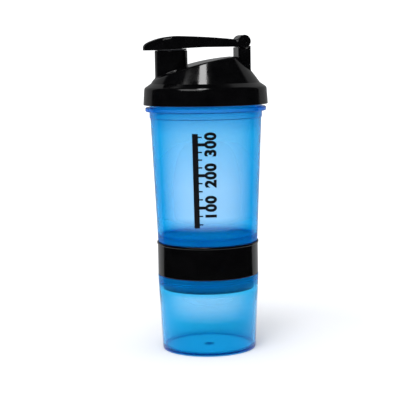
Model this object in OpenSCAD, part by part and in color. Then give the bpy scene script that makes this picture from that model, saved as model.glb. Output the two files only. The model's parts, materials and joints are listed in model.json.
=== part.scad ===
// Three-piece shaker bottle: a storage jar, a joiner ring and a mixing cup, closed by a screw
// lid with a flip cap. All sizes are in millimetres. The origin is on the bottle's axis, on the
// surface that it stands on. +Z is up, the spout is towards -X and the hinge pin lies along Y.

/* [Storage jar] */
// Height of the jar, from the floor to the joiner's shoulder
jar_h = 56.4; // [45:0.1:80]
// Outer radius at the jar's foot
foot_r = 35.0; // [30:0.1:40]
// Thickness of the jar's wall
jar_wall = 1.8; // [1.2:0.1:2.4]
// Thickness of the jar's floor
jar_floor = 2.0; // [1.4:0.1:3]
// Height of the ring that the jar stands on
foot_h = 0.8; // [0.4:0.1:1.2]

/* [Joiner ring] */
// Outer radius of the ring that joins the jar to the cup
joiner_r = 37.4; // [35:0.1:46]
// Height of the ring's outer wall
joiner_h = 24.5; // [22:0.1:34]
// Thickness of the ring's walls
joiner_wall = 1.6; // [1.2:0.1:2.2]
// Depth of the socket that the cup screws into
socket_d = 12.9; // [11:0.1:15]
// Length of the neck that screws into the jar
neck_l = 10.4; // [10.4:0.1:14]
// Thickness of the web between the cup's side and the jar's side
web_t = 1.6; // [1.2:0.1:2.4]

/* [Cup] */
// Height of the cup's body, from the joiner to the mouth
cup_h = 111.4; // [70:0.1:160]
// Outer radius of the cup's mouth, inside the lid's thread
mouth_r = 41.3; // [36:0.1:52]
// Thickness of the cup's wall
cup_wall = 1.8; // [1.2:0.1:2.4]
// Thickness of the cup's floor
cup_floor = 2.0; // [1.4:0.1:3]
// Height of the bead that stops the hand below the lid
bead_h = 3.0; // [2:0.1:4]
// How far the bead stands out from the mouth
bead_out = 3.3; // [2.5:0.1:3.6]

/* [Lid] */
// Height of the lid's skirt
skirt_h = 12.4; // [12.4:0.1:13.8]
// Thickness of the skirt at its top
skirt_wall = 1.5; // [1.2:0.1:2.2]
// How much wider the skirt is at its foot than at its top
skirt_flare = 0.9; // [0:0.1:1.5]
// Thickness of the dome and of the spout
lid_wall = 1.8; // [1.4:0.1:2.2]
// Height of the slanted face over the dome's foot, at the spout's side
face_low = 4.0; // [3:0.1:6]
// Height of the slanted face over the dome's foot, at the hinge's side
face_high = 19.1; // [15:0.1:22]
// How far the slanted face bulges over a straight line
face_bulge = 2.5; // [1:0.1:4]

/* [Spout] */
// Outer radius of the spout
spout_r = 12.0; // [9:0.1:14.5]
// Height of the spout's rim over the dome's foot
spout_h = 24.0; // [22:0.1:30]
// How deep the plug reaches into the spout
plug_d = 5.5; // [3:0.1:6.6]

/* [Flip cap] */
// Height of the cap at its highest point
cap_h = 10.1; // [8:0.1:13]
// Width of the arm and of the hinge
cap_w = 24.0; // [18:0.5:28]
// How far the thumb nose reaches past the spout
nose_l = 8.6; // [3:0.1:10]
// Thickness of the cap's skin
cap_wall = 1.8; // [1.2:0.1:2.2]

/* [Hinge] */
// How far the ears reach below the arm's underside
ear_drop = 1.0; // [0:0.1:1.4]
// Radius of the hinge pin
pin_r = 1.6; // [1.2:0.1:2]
// Outer radius of the ears round the pin
ear_r = 4.8; // [4.4:0.1:6]
// Width of the tongue that stands between the ears
tongue_w = 9.0; // [6:0.5:10]
// Angle that the cap opens to
open_angle = 110; // [80:1:112]

/* [Threads] */
// Rise of the lid's thread in one turn
lid_pitch = 5.0; // [4.4:0.1:5.0]
// Height of the lid's thread
lid_thread = 1.8; // [1.4:0.1:2.2]
// Rise of the two lower threads in one turn
low_pitch = 4.0; // [3.6:0.1:4.2]
// Height of the two lower threads
low_thread = 1.1; // [0.8:0.1:1.3]
// Width of each thread at its root
thread_w = 2.0; // [1.6:0.1:2.0]

/* [Strainer and tray] */
// Side of each hole in the strainer
grid_hole = 4.4; // [3:0.1:5]
// Thickness of the bars between the holes
grid_bar = 1.6; // [1:0.1:2]
// Height of the tray for pills
tray_h = 17.0; // [12:0.1:17.2]
// Thickness of the tray's walls
tray_wall = 1.2; // [0.8:0.1:1.6]

/* [Fits] */
// Gap between a thread's crest and the wall that it faces
thread_gap = 0.5; // [0.4:0.05:0.6]
// Gap between a seal and the wall that it slides on
seal_gap = 0.1; // [0.05:0.01:0.2]
// Gap between pieces that push together
push_gap = 0.3; // [0.2:0.05:0.5]
// Gap between the hinge's turning faces
hinge_gap = 0.3; // [0.2:0.05:0.4]
// Running clearance of the ears on the pin
pin_gap = 0.08; // [0.03:0.01:0.1]

/* [Hidden] */
$fn = 96;

blue = "#2f8fe0";
black = "#141416";
grey = "#3a3a3e";
eps = 0.05;              // how far a cutter runs past the face that it cuts
sink = 0.4;              // how far a thread's root lies inside its wall
far = 200;               // past the model on every side

// Jar
rim_wall = 2.1;                                  // jar wall at its mouth, where the thread is
jar_mouth_r = joiner_r + 0.1;
jar_bore = jar_mouth_r - rim_wall;
seam = 0.2;                                      // gap between faces that close on each other
jar_top = jar_h - seam;

// Joiner
neck_r = jar_bore - low_thread - thread_gap;
neck_bore = neck_r - joiner_wall;
neck_z = jar_h - neck_l;
joiner_top = jar_h + joiner_h;
web_z = joiner_top - socket_d;                   // upper face of the web
socket_r = joiner_r - joiner_wall;
lip_h = 1.5;
lip_out = 0.5;
seal_h = 1.6;

// Cup
cup_z = joiner_top + seam;
cup_base_r = joiner_r - 0.3;
foot_neck_r = socket_r - low_thread - thread_gap;
foot_neck_z = web_z + 1.4;
cup_floor_z = cup_z + 1.9;                       // lower face of the cup's floor
mouth_z = cup_z + cup_h;
mouth_l = 12.0;                                  // length of the neck above the bead
bead_z = mouth_z - mouth_l - bead_h;
band_h = 4.5;
band_z = bead_z - band_h;
band_r = mouth_r + 0.3;
cup_top_r = mouth_r - 0.3;
mouth_bore = mouth_r - cup_wall;

// Lid
lid_bore = mouth_r + lid_thread + thread_gap;
skirt_top_r = lid_bore + skirt_wall;
skirt_r = skirt_top_r + skirt_flare;
lid_seal_h = 1.0;
seat_z = mouth_z + lid_seal_h + 0.3;             // face that the lid's seal is held against
skirt_top = seat_z + 0.9;
skirt_z = skirt_top - skirt_h;
ledge_w = 4.9;
ledge_h = 3.3;
dome_r = skirt_top_r - ledge_w;
dome_z = skirt_top + ledge_h;
dome_run = 0.72;                                 // loss of radius for each millimetre of height
dome_in = lid_wall * sqrt(1 + dome_run * dome_run);
ring_r = mouth_bore - push_gap - 0.2;            // inner ring, which the strainer clips into
ring_wall = 1.6;
ring_z = mouth_z - 5.5;

// Slanted face: an arc through a low and a high point, then a flat rear slope
low_x = -(dome_r - 3.2);
low_z = dome_z + face_low;
pin_x = dome_r - 12.6;
high_x = pin_x - 5.3;
high_z = dome_z + face_high;
chord = norm([high_x - low_x, high_z - low_z]);
face_R = chord * chord / 8 / face_bulge + face_bulge / 2;
face_tilt = atan2(high_z - low_z, high_x - low_x);
face_cx = (low_x + high_x) / 2 + (face_R - face_bulge) * sin(face_tilt);
face_cz = (low_z + high_z) / 2 - (face_R - face_bulge) * cos(face_tilt);
rear_x = pin_x + 4.0;
rear_slope = 0.98;                               // fall of the face behind its high point
rear_z = high_z - (rear_x - high_x) * rear_slope;

// Spout and plug
spout_x = -(dome_r - spout_r - 3.2);
spout_top = dome_z + spout_h;
spout_bore = spout_r - 1.6;
plug_root_r = spout_bore - push_gap;
plug_tip_r = plug_root_r - 0.9 - 0.02 * spout_r;
flange_h = 1.1;                                  // flange that lies on the spout's rim
rim_gap = 0.1;                                   // gap between the flange and the rim
flange_top = spout_top + rim_gap + flange_h;

// Flip cap
cap_z = spout_top + 0.2;                         // underside of the nose
arm_z = cap_z + 1.8;                             // underside of the arm
cap_top = cap_z + cap_h;
nose_x = spout_x - spout_r - nose_l;
pin_z = arm_z + ear_r - ear_drop;
arm_t = 5.4;                                     // thickness of the arm where it meets the ears
pad_r = spout_r + 2.6;                           // round pad over the spout
nose_r = 8.0;
peak_x = spout_x + spout_r / 2;
boss_r = 6.0;

// Hinge
post_w = ear_r * 2 - 0.4;
cradle_r = ear_r + hinge_gap;
tongue_r = ear_r - 1.5;
slot_w = tongue_w + 2 * hinge_gap;
slot_r = tongue_r + hinge_gap;
tongue_neck = 2.0;                               // half the thickness of the tongue's neck
neck_angle = asin(tongue_neck / slot_r);

// Threads: each inner and outer ridge run half a pitch apart
thread_crest = 0.9;                              // width of a ridge at its crest
jar_thread_z = jar_h - seal_h - thread_w / 2 - low_pitch - 0.45;
cup_thread_z = web_z + 3.4;
lid_thread_z = mouth_z - thread_w / 2 - lid_pitch - 0.6;

// Strainer and tray
strainer_r = ring_r - ring_wall - push_gap;
strainer_z = ring_z - 2.5;
strainer_h = 4.5;
grid_t = 1.5;
grid_step = grid_hole + grid_bar;
tray_r = neck_bore - push_gap;
tray_z = web_z - web_t - 0.4 - tray_h;

// Points along an arc from a to b, which bulges to its left by s
function arc(a, b, s, n) =
    let (c = norm(b - a), R = c * c / 8 / s + s / 2, half = asin(c / 2 / R),
         u = (b - a) / c, left = [-u[1], u[0]], m = (a + b) / 2 - left * (R - s))
    [for (i = [0:n]) let (t = -half + 2 * half * i / n) m + R * (u * sin(t) + left * cos(t))];

// Outline of two circles on the X axis and the straight sides that touch both
module teardrop(x1, r1, x2, r2) {
    d = x1 - x2;
    s = (r1 - r2) / d;
    c = sqrt(1 - s * s);
    translate([x1, 0]) circle(r1);
    translate([x2, 0]) circle(r2);
    polygon([[x1 - r1 * s, r1 * c], [x2 - r2 * s, r2 * c],
             [x2 - r2 * s, -r2 * c], [x1 - r1 * s, -r1 * c]]);
}

// A ring of square section
module ring(r_in, r_out, z, h) {
    translate([0, 0, z]) rotate_extrude() translate([r_in, 0]) square([r_out - r_in, h]);
}

// Extrudes an XZ outline along Y, the same to both sides
module along_y(width) {
    rotate([90, 0, 0]) linear_extrude(width, center = true) children();
}

// One ridge of a screw thread, from radius root to radius crest. It starts at height z and
// runs for a number of turns. Its ends are cut low, to lead in.
module thread(root, crest, pitch, turns, z) {
    steps = ceil(turns * 48);
    out = sign(crest - root);
    points = [for (i = [0:steps])
        let (a = 360 * turns * i / steps, h = z + pitch * turns * i / steps,
             lead = min(1, 0.3 + 0.7 * min(i, steps - i) / 4),
             tip = root + (crest - root) * lead, base = root - out * sink,
             w = thread_w / 2, n = w + (thread_crest / 2 - w) * lead)
        each [for (p = [[base, h - w], [tip, h - n], [tip, h + n], [base, h + w]])
              [p[0] * cos(a), p[0] * sin(a), p[1]]]];
    sides = [for (i = [0:steps - 1], k = [0:3])
        let (a = 4 * i + k, b = 4 * i + (k + 1) % 4)
        each out > 0 ? [[a, b, b + 4], [a, b + 4, a + 4]] : [[a, b + 4, b], [a, a + 4, b + 4]]];
    last = 4 * steps;
    ends = out > 0
        ? [[0, 3, 2], [0, 2, 1], [last, last + 1, last + 2], [last, last + 2, last + 3]]
        : [[0, 2, 3], [0, 1, 2], [last, last + 2, last + 1], [last, last + 3, last + 2]];
    polyhedron(points, concat(sides, ends));
}

module storage_jar() {
    color(blue) {
        difference() {
            rotate_extrude() polygon([
                [0, 0], [foot_r - 1, 0], [foot_r - 0.2, 0.5], [foot_r, 1.4], [jar_mouth_r, jar_top],
                [jar_bore, jar_top], [jar_bore, neck_z - 2],
                [foot_r - jar_wall, jar_floor + 1.5], [foot_r - jar_wall - 1.2, jar_floor],
                [0, jar_floor]]);
            // Recess that leaves a foot ring, with the gate's round mark left standing in it
            difference() {
                translate([0, 0, -eps]) cylinder(r = foot_r - 2.6, h = foot_h + eps);
                translate([0, 0, foot_h * 0.25]) cylinder(r = 3.4, h = foot_h);
            }
        }
        thread(jar_bore, jar_bore - low_thread, low_pitch, 1, jar_thread_z);
    }
}

module jar_seal() {
    color(grey) ring(neck_r + seal_gap / 2, jar_bore - seal_gap, jar_h - seal_h - 0.05, seal_h);
}

module joiner_ring() {
    color(black) {
        difference() {
            union() {
                translate([0, 0, jar_h]) cylinder(r = joiner_r, h = joiner_h);
                translate([0, 0, neck_z]) cylinder(r = neck_r, h = neck_l + eps);
                // Lip round the top
                translate([0, 0, joiner_top - lip_h]) cylinder(r = joiner_r + lip_out, h = lip_h);
            }
            translate([0, 0, web_z]) cylinder(r = socket_r, h = socket_d + eps);
            translate([0, 0, neck_z - eps]) cylinder(r = neck_bore, h = neck_l + joiner_wall + 2 * eps);
            translate([0, 0, jar_h + joiner_wall])
                cylinder(r = socket_r, h = web_z - web_t - jar_h - joiner_wall);
        }
        thread(neck_r, neck_r + low_thread, low_pitch, 1.25, jar_thread_z - low_pitch / 2);
        thread(socket_r, socket_r - low_thread, low_pitch, 1, cup_thread_z + low_pitch / 2);
    }
}

// Round tray with a cross of dividers, which pushes up into the joiner's lower neck
module pill_tray() {
    color(black) translate([0, 0, tray_z]) {
        difference() {
            cylinder(r = tray_r, h = tray_h);
            translate([0, 0, tray_wall]) cylinder(r = tray_r - tray_wall, h = tray_h);
        }
        for (turn = [0, 90]) rotate(turn)
            translate([-tray_r + tray_wall / 2, -tray_wall / 2, tray_wall / 2])
                cube([2 * tray_r - tray_wall, tray_wall, tray_h - tray_wall / 2 - 0.6]);
    }
}

module cup_seal() {
    color(grey) ring(foot_neck_r + seal_gap / 2, socket_r - seal_gap, cup_z - seal_h - 0.05, seal_h);
}

module cup() {
    color(blue) {
        rotate_extrude() polygon([
            [0, cup_floor_z], [foot_neck_r - cup_wall, cup_floor_z],
            [foot_neck_r - cup_wall, foot_neck_z], [foot_neck_r, foot_neck_z],
            [foot_neck_r, cup_z], [cup_base_r - 0.5, cup_z], [cup_base_r, cup_z + 0.8],
            [cup_top_r, band_z - 0.4], [band_r, band_z], [band_r, bead_z],
            [mouth_r + bead_out - 0.5, bead_z], [mouth_r + bead_out, bead_z + 0.5],
            [mouth_r + bead_out, bead_z + bead_h - 0.5],
            [mouth_r + bead_out - 0.5, bead_z + bead_h], [mouth_r, bead_z + bead_h],
            [mouth_r, mouth_z - 0.4], [mouth_r - 0.4, mouth_z],
            [mouth_bore + 0.4, mouth_z], [mouth_bore, mouth_z - 0.4], [mouth_bore, bead_z],
            [cup_top_r - cup_wall, band_z - 2], [cup_base_r - cup_wall, cup_floor_z + cup_floor + 1.5],
            [cup_base_r - cup_wall - 1.2, cup_floor_z + cup_floor], [0, cup_floor_z + cup_floor]]);
        thread(foot_neck_r, foot_neck_r + low_thread, low_pitch, 1.25, cup_thread_z);
        thread(mouth_r, mouth_r + lid_thread, lid_pitch, 1, lid_thread_z);
    }
}

module lid_seal() {
    color(grey) ring(ring_r + 0.2, lid_bore - 0.4, mouth_z + 0.2, lid_seal_h);
}

// The space under the slanted face and the rear slope, lowered by drop
module under_face(drop) {
    intersection() {
        translate([face_cx, 0, face_cz]) rotate([90, 0, 0])
            cylinder(r = face_R - drop, h = far, center = true, $fn = 360);
        along_y(far) polygon([
            [-far / 2, dome_z - 40], [-far / 2, high_z + far],
            [high_x - far, high_z + rear_slope * far - drop], [rear_x - drop, rear_z - drop / 4],
            [rear_x + far / 4, rear_z - 8 - drop], [far / 2, dome_z - 40]]);
    }
}

// The cone that the dome is cut from
module dome_cone(inset, z) {
    rotate_extrude() polygon([
        [0, z], [dome_r - inset - dome_run * (z - dome_z), z],
        [dome_r - inset - dome_run * (face_high + 4), dome_z + face_high + 4],
        [0, dome_z + face_high + 4]]);
}

module hinge_post() {
    difference() {
        union() {
            translate([pin_x - post_w / 2, -cap_w / 2, dome_z + 7])
                cube([post_w, cap_w, arm_z - 0.4 - dome_z - 7]);
            // Back wall, which rises behind the ears
            translate([pin_x + 1, -cap_w / 2, arm_z - 2]) cube([post_w / 2 - 1, cap_w, 2.6]);
        }
        translate([pin_x, 0, pin_z]) rotate([90, 0, 0])
            cylinder(r = cradle_r, h = cap_w + 2 * eps, center = true);
    }
    // Tongue between the ears
    translate([pin_x, 0, pin_z]) rotate([90, 0, 0]) cylinder(r = tongue_r, h = tongue_w, center = true);
    translate([pin_x - tongue_neck, -tongue_w / 2, arm_z - 4])
        cube([2 * tongue_neck, tongue_w, pin_z - arm_z + 4]);
}

module lid() {
    color(black) {
        difference() {
            union() {
                rotate_extrude() polygon([
                    [ring_r - ring_wall, ring_z], [ring_r, ring_z], [ring_r, seat_z],
                    [lid_bore, seat_z], [lid_bore, skirt_z], [skirt_r - 0.3, skirt_z],
                    [skirt_r, skirt_z + 0.3], [skirt_top_r, skirt_top - 0.5],
                    [skirt_top_r - 0.6, skirt_top], [dome_r, dome_z],
                    [ring_r - ring_wall, dome_z]]);
                intersection() {
                    dome_cone(0, dome_z - eps);
                    under_face(0);
                }
                translate([spout_x, 0, dome_z + 1]) cylinder(r = spout_r, h = spout_h - 1);
                hinge_post();
            }
            // Inside of the dome
            intersection() {
                dome_cone(dome_in, dome_z - 1);
                under_face(lid_wall);
            }
            translate([0, 0, seat_z]) cylinder(r = ring_r - ring_wall, h = dome_z - seat_z);
            translate([spout_x, 0, dome_z]) cylinder(r = spout_bore, h = spout_h + eps);
            // Hollow core of the hinge post
            translate([pin_x - post_w / 2 + lid_wall, -cap_w / 2 + lid_wall, dome_z + 5])
                cube([post_w - 2 * lid_wall, cap_w - 2 * lid_wall, arm_z - dome_z - 10.5]);
            translate([pin_x, 0, pin_z]) rotate([90, 0, 0])
                cylinder(r = pin_r, h = cap_w, center = true);
        }
        thread(lid_bore, lid_bore - lid_thread, lid_pitch, 1, lid_thread_z - lid_pitch / 2);
    }
}

module strainer() {
    color(grey) translate([0, 0, strainer_z]) {
        ring(strainer_r - 1.4, strainer_r, 0, strainer_h);
        difference() {
            cylinder(r = strainer_r - 1.2, h = grid_t);
            count = floor((strainer_r - 3) / grid_step);
            for (i = [-count:count], j = [-count:count])
                if (norm([i, j]) * grid_step + grid_hole * 0.71 < strainer_r - 2.2)
                    translate([i * grid_step - grid_hole / 2, j * grid_step - grid_hole / 2, -eps])
                        cube([grid_hole, grid_hole, grid_t + 2 * eps]);
        }
    }
}

module hinge_pin() {
    color(grey) translate([pin_x, 0, pin_z]) rotate([90, 0, 0])
        cylinder(r = pin_r, h = cap_w - 0.4, center = true);
}

// Plan of the flip cap, drawn in by an inset
module cap_plan(inset) {
    teardrop(spout_x - 0.5, pad_r - inset, nose_x + nose_r, nose_r - inset);
    polygon([[spout_x, pad_r - 0.2 - inset], [spout_x + pad_r * 0.55, cap_w / 2 + 1.4 - inset],
             [spout_x + pad_r + 6, cap_w / 2 - inset], [pin_x, cap_w / 2 - inset],
             [pin_x, inset - cap_w / 2], [spout_x + pad_r + 6, inset - cap_w / 2],
             [spout_x + pad_r * 0.55, inset - cap_w / 2 - 1.4], [spout_x, inset - pad_r + 0.2]]);
}

module flip_cap() {
    color(black) difference() {
        union() {
            difference() {
                cap_body(0);
                // Hollow underside, less the boss that holds the plug and two cross ribs
                difference() {
                    cap_body(cap_wall);
                    translate([spout_x, 0, cap_z]) cylinder(r = boss_r, h = cap_h);
                    for (x = [spout_x + pad_r + 1, pin_x - ear_r - 13])
                        translate([x, -cap_w, cap_z]) cube([1.4, 2 * cap_w, cap_h]);
                }
            }
            translate([pin_x, 0, pin_z]) rotate([90, 0, 0])
                cylinder(r = ear_r, h = cap_w, center = true);
        }
        // Room for the plug's flange
        translate([spout_x, 0, cap_z - 1]) cylinder(r = spout_r - 0.2, h = flange_top - cap_z + 1);
        // Slot for the tongue, open below and behind as far as the cap turns
        translate([pin_x, 0, pin_z]) {
            rotate([90, 0, 0]) cylinder(r = slot_r, h = slot_w, center = true);
            along_y(slot_w) polygon(concat([[0, 0]],
                [for (a = [-94 - neck_angle:(open_angle + 8 + 2 * neck_angle) / 6:
                           open_angle - 86 + neck_angle + 0.01]) 2 * ear_r * [cos(a), sin(a)]]));
            rotate([90, 0, 0]) cylinder(r = pin_r + pin_gap, h = cap_w + 2 * eps, center = true);
        }
    }
}

// Solid of the flip cap's body, drawn in by an inset all round and at the top
module cap_body(inset) {
    intersection() {
        translate([0, 0, cap_z - (inset > 0 ? eps : 0)]) linear_extrude(cap_h + 1) cap_plan(inset);
        along_y(2 * pad_r + 4) cap_outline(inset);
    }
}

// Side of the body: the underside steps up from the nose to the arm
module cap_outline(inset) {
    nose_top = [nose_x + inset, cap_z + 4.2 - inset];
    peak = [peak_x, cap_top - inset];
    root = [pin_x - ear_r - 1.2 - inset, arm_z + arm_t - inset];
    ear_top = [pin_x - 2.6, pin_z + ear_r - 0.9];
    low = inset > 0 ? eps : 0;
    polygon(concat(
        [[nose_x + inset, cap_z - low]],
        arc(nose_top, peak, 1.9, 8),
        [for (i = [1:6]) arc(peak, root, 0.45, 6)[i]],
        inset > 0 ? [[root[0], arm_z - low]] : [ear_top, [pin_x, arm_z]],
        [[spout_x + spout_r + 12, arm_z - low], [spout_x + spout_r + 1, arm_z - 0.4 - low],
         [nose_x + 9, cap_z - low]]));
}

module spout_plug() {
    color(grey) translate([spout_x, 0, 0]) difference() {
        union() {
            translate([0, 0, spout_top - plug_d])
                cylinder(r1 = plug_tip_r, r2 = plug_root_r, h = plug_d + rim_gap);
            translate([0, 0, flange_top - flange_h]) cylinder(r = spout_r - 0.5, h = flange_h);
        }
        translate([0, 0, spout_top - plug_d - eps]) cylinder(r = plug_tip_r - 1.6, h = plug_d - 1.4);
    }
}

storage_jar();
jar_seal();
joiner_ring();
pill_tray();
cup_seal();
cup();
lid_seal();
lid();
strainer();
hinge_pin();
flip_cap();
spout_plug();
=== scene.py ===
"""Looks of the three-piece shaker bottle, on the fixed frame of its CAD model.

Sizes are in millimetres until a mesh is made. +Z is up, the spout is towards -X and the hinge
pin lies along Y.
"""

import json
import logging
import math
from dataclasses import dataclass, field
from enum import Enum
from typing import Callable, Mapping, Optional, Sequence, Union

import bmesh
import bpy
import numpy as np
from mathutils import Matrix, Vector


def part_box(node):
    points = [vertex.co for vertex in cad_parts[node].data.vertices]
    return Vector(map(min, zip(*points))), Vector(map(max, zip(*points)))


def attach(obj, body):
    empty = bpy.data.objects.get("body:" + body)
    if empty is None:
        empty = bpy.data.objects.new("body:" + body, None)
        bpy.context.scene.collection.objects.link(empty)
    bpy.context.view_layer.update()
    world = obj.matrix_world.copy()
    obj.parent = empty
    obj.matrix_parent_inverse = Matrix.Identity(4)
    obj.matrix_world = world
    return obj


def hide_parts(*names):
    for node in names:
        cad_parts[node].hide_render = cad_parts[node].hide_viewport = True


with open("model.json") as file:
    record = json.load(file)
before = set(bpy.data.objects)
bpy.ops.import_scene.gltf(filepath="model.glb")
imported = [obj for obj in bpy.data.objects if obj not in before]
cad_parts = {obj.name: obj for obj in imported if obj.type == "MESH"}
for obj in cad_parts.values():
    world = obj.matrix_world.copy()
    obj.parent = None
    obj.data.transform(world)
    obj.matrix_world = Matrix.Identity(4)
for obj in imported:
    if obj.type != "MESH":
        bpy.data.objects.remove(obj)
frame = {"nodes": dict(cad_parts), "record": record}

log = logging.getLogger("bottle")

MM = 0.001
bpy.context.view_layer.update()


class Ridge(Enum):
    """Which way a screw ridge stands off its wall."""

    OUTWARD = 1
    INWARD = -1


class Axis(Enum):
    """The direction that a turned piece's axis lies in."""

    UP = "z"
    ACROSS = "y"


# ---------------------------------------------------------------------------------------------
# Colour and nodes


Feed = Union[float, tuple[float, float, float], bpy.types.NodeSocket]


def linear(code: str) -> tuple[float, float, float, float]:
    """Turns an sRGB hex colour to linear values.

    Args:
        code: The colour as "#rrggbb".

    Returns:
        Red, green, blue and an alpha of 1.
    """
    parts = [int(code[i : i + 2], 16) / 255 for i in (1, 3, 5)]
    red, green, blue = (c / 12.92 if c <= 0.04045 else ((c + 0.055) / 1.055) ** 2.4 for c in parts)
    return red, green, blue, 1.0


def add_node(
    tree: bpy.types.NodeTree,
    kind: str,
    settings: Optional[Mapping[object, object]] = None,
    links: Optional[Mapping[object, bpy.types.NodeSocket]] = None,
) -> bpy.types.Node:
    """Adds a node with its settings and links.

    Args:
        tree: The node tree that the node is added to.
        kind: The node's type name.
        settings: Values by input name or number, or by attribute name where no input has it.
        links: Output sockets by the name or number of the input that each feeds.

    Returns:
        The new node.
    """
    node = tree.nodes.new(kind)
    for key, value in (settings or {}).items():
        if isinstance(key, int) or key in node.inputs:
            node.inputs[key].default_value = value
        else:
            setattr(node, key, value)
    for key, source in (links or {}).items():
        tree.links.new(source, node.inputs[key])
    return node


def math_node(tree: bpy.types.NodeTree, operation: str, a: Feed, b: Feed) -> bpy.types.NodeSocket:
    """Adds a sum of two values.

    Args:
        tree: The node tree that it is added to.
        operation: The kind of sum.
        a: First value, as a number or a socket.
        b: Second value, as a number or a socket.

    Returns:
        The result's socket.
    """
    fixed = {k: v for k, v in ((0, a), (1, b)) if isinstance(v, float)}
    fed = {k: v for k, v in ((0, a), (1, b)) if not isinstance(v, float)}
    return add_node(tree, "ShaderNodeMath", {"operation": operation, **fixed}, fed).outputs[0]


def vector_node(
    tree: bpy.types.NodeTree, operation: str, a: bpy.types.NodeSocket, b: Optional[Feed] = None
) -> bpy.types.Node:
    """Adds a vector operation.

    Args:
        tree: The node tree that it is added to.
        operation: The kind of operation.
        a: The vector that it works on.
        b: The second vector, as three numbers or a socket, where it needs one.

    Returns:
        The new node.
    """
    fixed = {1: b} if isinstance(b, tuple) else {}
    fed = {} if b is None or fixed else {1: b}
    return add_node(tree, "ShaderNodeVectorMath", {"operation": operation, **fixed}, {0: a, **fed})


def remap(
    tree: bpy.types.NodeTree,
    value: bpy.types.NodeSocket,
    source: tuple[float, float],
    target: tuple[float, float] = (0.0, 1.0),
    curve: str = "LINEAR",
) -> bpy.types.NodeSocket:
    """Adds a change of range.

    Args:
        tree: The node tree that it is added to.
        value: The value that is changed.
        source: The range that is read.
        target: The range that comes out.
        curve: The way from one end to the other.

    Returns:
        The changed value's socket.
    """
    ends = {"From Min": source[0], "From Max": source[1], "To Min": target[0], "To Max": target[1]}
    settings = {**ends, "interpolation_type": curve}
    return add_node(tree, "ShaderNodeMapRange", settings, {"Value": value}).outputs[0]


def noise(
    tree: bpy.types.NodeTree,
    size_mm: float,
    detail: float,
    place: bpy.types.NodeSocket,
    roughness: Optional[float] = None,
) -> bpy.types.NodeSocket:
    """Adds a noise pattern.

    Args:
        tree: The node tree that it is added to.
        size_mm: Size of its largest blobs, in millimetres.
        detail: How many finer layers it has.
        place: The place that it is read at.
        roughness: Strength of the finer layers, where it isn't the usual one.

    Returns:
        The pattern's value socket.
    """
    settings = {"Scale": 1 / (size_mm * MM), "Detail": detail}
    if roughness is not None:
        settings["Roughness"] = roughness
    return add_node(tree, "ShaderNodeTexNoise", settings, {"Vector": place}).outputs[0]


def relief(
    tree: bpy.types.NodeTree, strength: float, depth_mm: float, height: bpy.types.NodeSocket
) -> bpy.types.NodeSocket:
    """Adds a fine relief.

    Args:
        tree: The node tree that it is added to.
        strength: How much of it shows.
        depth_mm: Its depth, in millimetres.
        height: The pattern that it follows.

    Returns:
        The socket of the changed normal.
    """
    settings = {"Strength": strength, "Distance": depth_mm * MM}
    return add_node(tree, "ShaderNodeBump", settings, {"Height": height}).outputs[0]


def blend(
    tree: bpy.types.NodeTree, part: Feed, under: bpy.types.NodeSocket, over: bpy.types.NodeSocket
) -> bpy.types.NodeSocket:
    """Adds a mix of two shaders.

    Args:
        tree: The node tree that it is added to.
        part: Share of the second shader, as a number or a socket.
        under: The first shader.
        over: The second shader.

    Returns:
        The mixed shader's socket.
    """
    fixed, fed = ({0: part}, {}) if isinstance(part, float) else ({}, {0: part})
    return add_node(tree, "ShaderNodeMixShader", fixed, {**fed, 1: under, 2: over}).outputs[0]


def diffuse(tree: bpy.types.NodeTree, code: str) -> bpy.types.NodeSocket:
    """Adds a plain diffuse shader of an sRGB hex colour."""
    return add_node(tree, "ShaderNodeBsdfDiffuse", {"Color": linear(code)}).outputs[0]


def object_place(tree: bpy.types.NodeTree) -> bpy.types.NodeSocket:
    """Adds the place on the piece, in metres."""
    return add_node(tree, "ShaderNodeTexCoord").outputs["Object"]


def new_material(name: str) -> tuple[bpy.types.Material, bpy.types.NodeTree, bpy.types.Node]:
    """Starts a material with no nodes but its output.

    Args:
        name: The material's name.

    Returns:
        The material, its node tree and its output node.
    """
    material = bpy.data.materials.new(name)
    material.use_nodes = True
    material.node_tree.nodes.clear()
    return material, material.node_tree, add_node(material.node_tree, "ShaderNodeOutputMaterial")


def add_ramp(
    tree: bpy.types.NodeTree, stops: Sequence[tuple[float, str]], source: bpy.types.NodeSocket
) -> bpy.types.NodeSocket:
    """Adds a colour ramp.

    Args:
        tree: The node tree that the ramp is added to.
        stops: The place and the hex colour of each stop.
        source: The socket that drives the ramp.

    Returns:
        The ramp's colour socket.
    """
    ramp = add_node(tree, "ShaderNodeValToRGB", links={"Fac": source})
    ramp.color_ramp.elements[0].position = stops[0][0]
    ramp.color_ramp.elements[-1].position = stops[-1][0]
    for place, _ in stops[1:-1]:
        ramp.color_ramp.elements.new(place)
    for element, (_, code) in zip(ramp.color_ramp.elements, stops):
        element.color = linear(code)
    return ramp.outputs["Color"]


def add_profile(
    tree: bpy.types.NodeTree, stops: Sequence[tuple[float, float]], value: bpy.types.NodeSocket
) -> bpy.types.NodeSocket:
    """Adds a piecewise linear profile of a value.

    Args:
        tree: The node tree that it is added to.
        stops: The profile's positions and levels, all between 0 and 1, in rising order.
        value: The value that the profile is read at.

    Returns:
        The level at that value.
    """
    node = tree.nodes.new("ShaderNodeValToRGB")
    elements = node.color_ramp.elements
    for k, (position, level) in enumerate(stops):
        stop = elements[k] if k < 2 else elements.new(position)
        stop.position, stop.color = position, (level, level, level, 1.0)
    tree.links.new(value, node.inputs[0])
    return node.outputs[0]


# ---------------------------------------------------------------------------------------------
# Finishes


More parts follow.
